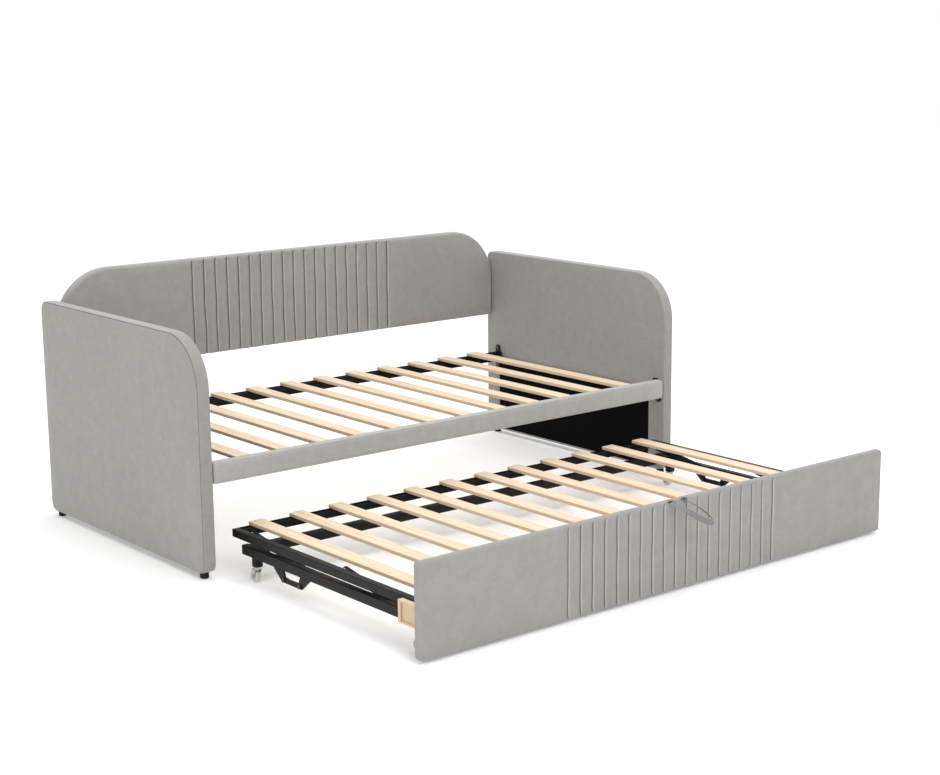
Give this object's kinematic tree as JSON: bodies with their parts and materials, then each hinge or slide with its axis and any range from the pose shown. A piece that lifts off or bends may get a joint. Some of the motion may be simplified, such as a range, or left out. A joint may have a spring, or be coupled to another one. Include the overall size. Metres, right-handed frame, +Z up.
{
  "type": "trundle bed",
  "caption": "Upholstered daybed with channelled back panel and slatted deck, and a pop-up trundle on casters that rolls out from under it and lifts level.",
  "frame": {"origin": "middle of the floor outline, with the trundle pulled out and its strap counted, on the floor", "axes": "+X along the beds to the right, +Y towards the back panel, +Z up"},
  "size_m": [2.025, 2.166, 0.847],
  "materials": {
    "upholstery": "light warm grey short-pile velvet",
    "lining": "black non-woven cloth",
    "board": "raw board",
    "slat_wood": "sanded pale pine",
    "black_steel": "satin black powder coat",
    "bolt_steel": "black zinc",
    "black_plastic": "moulded",
    "pin_steel": "zinc plated",
    "chrome": "bright plated",
    "wheel_plastic": "pale translucent",
    "webbing": "flat ribbon"
  },
  "bodies": {
    "daybed": {"left_arm_board": "board", "right_arm_board": "board", "left_arm_cover": "upholstery", "right_arm_cover": "upholstery", "left_arm_lining": "lining", "right_arm_lining": "lining", "back_board": "board", "back_cover": "upholstery", "back_lining": "lining", "back_end_plates": "black_steel", "front_rail_board": "board", "front_rail_cover": "upholstery", "front_ledge": "black_steel", "rear_rail": "black_steel", "corner_brackets": "black_steel", "frame_bolts": "bolt_steel", "arm_feet": "black_plastic", "daybed_slats": "slat_wood", "daybed_grip_strips": "lining"},
    "trundle_base": {"base_side_rail_left": "black_steel", "base_side_rail_right": "black_steel", "base_rear_rail": "black_steel", "base_front_rail": "black_steel", "base_end_caps": "black_plastic", "caster_posts": "black_steel", "handle_bracket_left": "black_steel", "handle_bracket_right": "black_steel", "handle_bolts": "bolt_steel", "base_pivot_pins": "pin_steel"},
    "rear_lift_arms": {"rear_lift_arm_left": "black_steel", "rear_lift_arm_right": "black_steel"},
    "front_lift_arms": {"front_lift_arm_left": "black_steel", "front_lift_arm_right": "black_steel"},
    "trundle_deck": {"deck_side_rail_left": "black_steel", "deck_side_rail_right": "black_steel", "deck_rear_rail": "black_steel", "deck_front_rail": "black_steel", "deck_end_caps": "black_plastic", "deck_pivot_pins": "pin_steel", "trundle_slats": "slat_wood", "trundle_grip_strips": "lining", "panel_batten": "board", "panel_blocks": "slat_wood", "panel_bolts": "bolt_steel", "panel_board": "board", "panel_cover": "upholstery", "panel_lining": "lining", "pull_strap": "webbing"},
    "caster_rear_left": {"fork_rear_left": "chrome", "axle_rear_left": "chrome"},
    "roller_rear_left": {"wheel_rear_left": "wheel_plastic"},
    "caster_rear_right": {"fork_rear_right": "chrome", "axle_rear_right": "chrome"},
    "roller_rear_right": {"wheel_rear_right": "wheel_plastic"},
    "caster_front_left": {"fork_front_left": "chrome", "axle_front_left": "chrome"},
    "roller_front_left": {"wheel_front_left": "wheel_plastic"},
    "caster_front_right": {"fork_front_right": "chrome", "axle_front_right": "chrome"},
    "roller_front_right": {"wheel_front_right": "wheel_plastic"}
  },
  "joints": [
    {"name": "trundle_roll", "type": "slide", "parent": "daybed", "child": "trundle_base", "axis": [0, -1, 0], "range_m": [-1.0095, 0.3]},
    {"name": "deck_lift", "type": "hinge", "parent": "trundle_base", "child": "rear_lift_arms", "pos_m": [0, -0.26117, 0.092], "axis": [1, 0, 0], "range_deg": [0, 53.22]},
    {"name": "deck_level", "type": "hinge", "parent": "rear_lift_arms", "child": "trundle_deck", "pos_m": [0, 0.005, 0.1373], "axis": [1, 0, 0], "range_deg": [-53.22, 0]},
    {"name": "front_arm_lift", "type": "hinge", "parent": "trundle_base", "child": "front_lift_arms", "pos_m": [0, -0.75, 0.092], "axis": [1, 0, 0], "range_deg": [0, 53.22]},
    {"name": "swivel_rear_left", "type": "hinge", "parent": "trundle_base", "child": "caster_rear_left", "pos_m": [-0.8905, -0.047, 0.045], "axis": [0, 0, 1], "continuous": true},
    {"name": "roll_rear_left", "type": "hinge", "parent": "caster_rear_left", "child": "roller_rear_left", "pos_m": [-0.8905, -0.035, 0.019], "axis": [1, 0, 0], "continuous": true},
    {"name": "swivel_rear_right", "type": "hinge", "parent": "trundle_base", "child": "caster_rear_right", "pos_m": [0.8905, -0.047, 0.045], "axis": [0, 0, 1], "continuous": true},
    {"name": "roll_rear_right", "type": "hinge", "parent": "caster_rear_right", "child": "roller_rear_right", "pos_m": [0.8905, -0.035, 0.019], "axis": [1, 0, 0], "continuous": true},
    {"name": "swivel_front_left", "type": "hinge", "parent": "trundle_base", "child": "caster_front_left", "pos_m": [-0.8905, -0.862, 0.045], "axis": [0, 0, 1], "continuous": true},
    {"name": "roll_front_left", "type": "hinge", "parent": "caster_front_left", "child": "roller_front_left", "pos_m": [-0.8905, -0.85, 0.019], "axis": [1, 0, 0], "continuous": true},
    {"name": "swivel_front_right", "type": "hinge", "parent": "trundle_base", "child": "caster_front_right", "pos_m": [0.8905, -0.862, 0.045], "axis": [0, 0, 1], "continuous": true},
    {"name": "roll_front_right", "type": "hinge", "parent": "caster_front_right", "child": "roller_front_right", "pos_m": [0.8905, -0.85, 0.019], "axis": [1, 0, 0], "continuous": true}
  ],
  "couplings": [
    {"joint": "deck_level", "follows": "deck_lift", "ratio": -1},
    {"joint": "front_arm_lift", "follows": "deck_lift", "ratio": 1}
  ]
}
